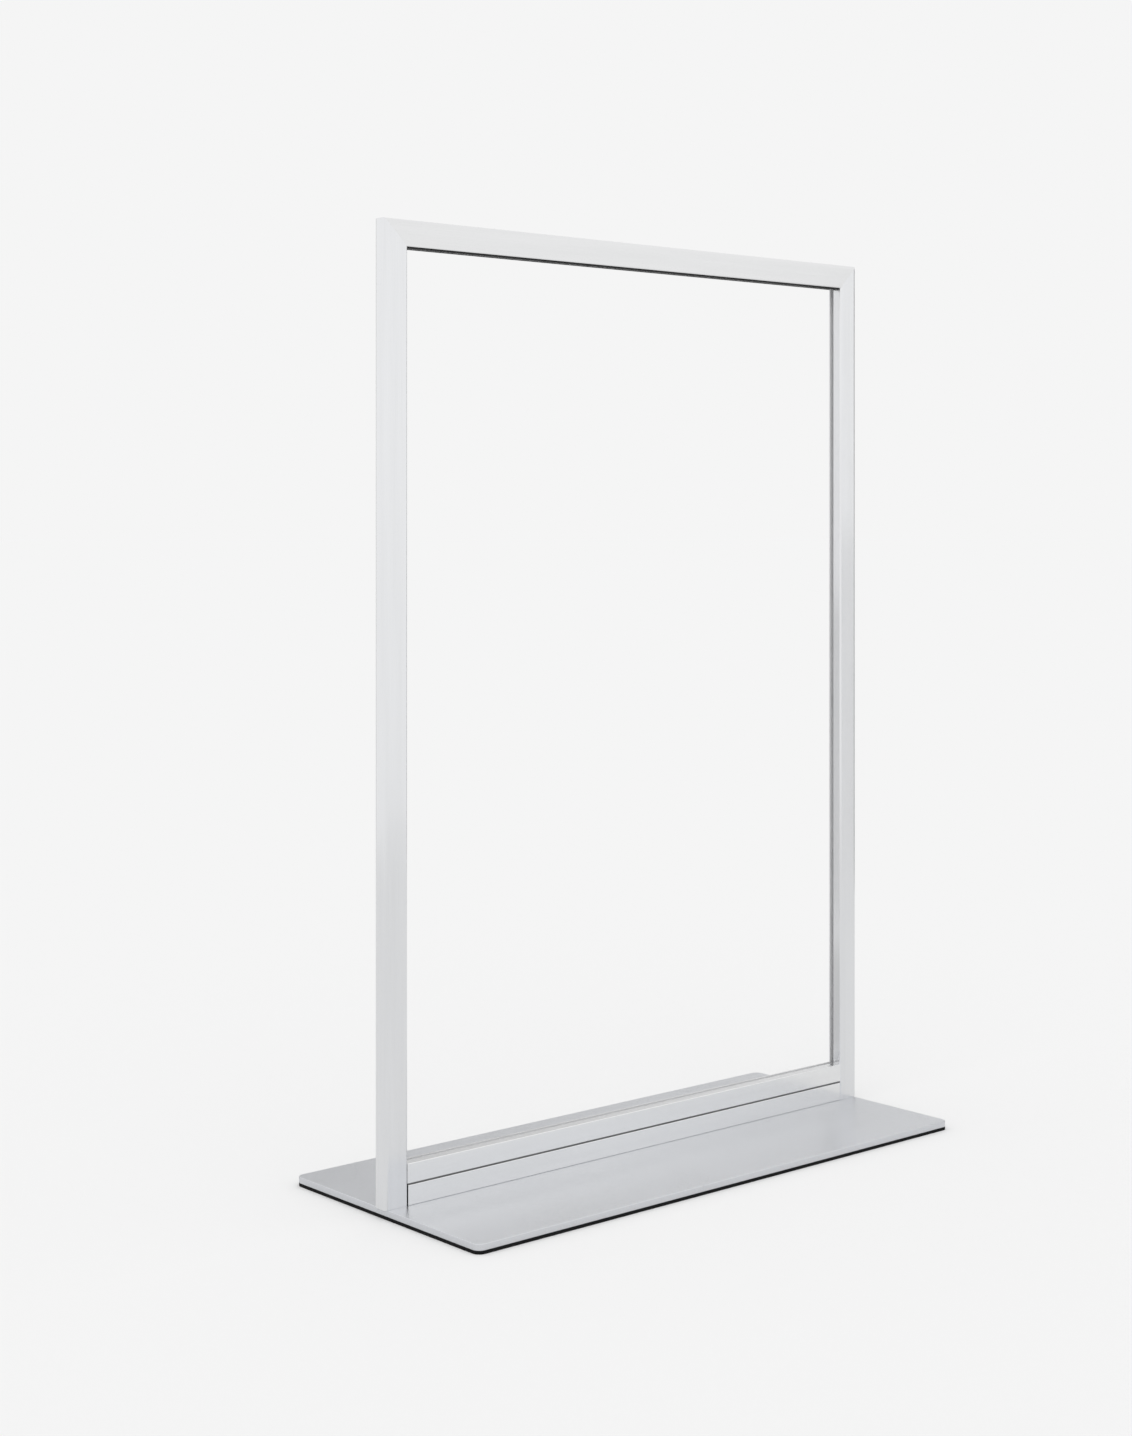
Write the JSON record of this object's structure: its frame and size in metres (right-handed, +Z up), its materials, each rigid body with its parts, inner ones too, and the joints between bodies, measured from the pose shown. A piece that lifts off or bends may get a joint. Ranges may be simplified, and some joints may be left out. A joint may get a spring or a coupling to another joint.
{
  "type": "poster display stand",
  "caption": "Upright slim metal frame for a large poster panel on a flat rectangular base plate; the top rail lifts off to load the panel.",
  "frame": {"origin": "middle of the base's underside, on the floor", "axes": "+Z up, -Y is the front, +X to the right along the frame's width"},
  "size_m": [0.626, 0.275, 0.899],
  "materials": {
    "frame_aluminium": "satin anodised",
    "base_silver": "satin silver",
    "black_rubber": "matt",
    "white_nylon": "moulded",
    "zinc_steel": "zinc plated"
  },
  "bodies": {
    "stand": {"left_post": "frame_aluminium", "right_post": "frame_aluminium", "bottom_rail": "frame_aluminium", "lower_rail": "frame_aluminium", "base_plate": "base_silver", "base_mat": "black_rubber", "seam_strip": "black_rubber", "left_key_sleeve": "white_nylon", "right_key_sleeve": "white_nylon", "left_foot_block": "zinc_steel", "left_foot_screw": "zinc_steel", "left_block_screw": "zinc_steel", "left_rail_connector": "zinc_steel", "left_connector_screw": "zinc_steel", "left_plug_screw": "zinc_steel", "right_foot_block": "zinc_steel", "right_foot_screw": "zinc_steel", "right_block_screw": "zinc_steel", "right_rail_connector": "zinc_steel", "right_connector_screw": "zinc_steel", "right_plug_screw": "zinc_steel", "rail_screw_1": "zinc_steel", "rail_screw_2": "zinc_steel", "rail_screw_3": "zinc_steel", "rail_screw_4": "zinc_steel"},
    "top": {"top_rail": "frame_aluminium", "top_strip_back": "black_rubber", "top_strip_front": "black_rubber", "left_corner_key": "zinc_steel", "right_corner_key": "zinc_steel", "left_key_screw": "zinc_steel", "right_key_screw": "zinc_steel"}
  },
  "joints": [
    {"name": "top_rail_lift", "type": "slide", "parent": "stand", "child": "top", "axis": [0, 0, 1], "range_m": [0, 0.045]}
  ]
}
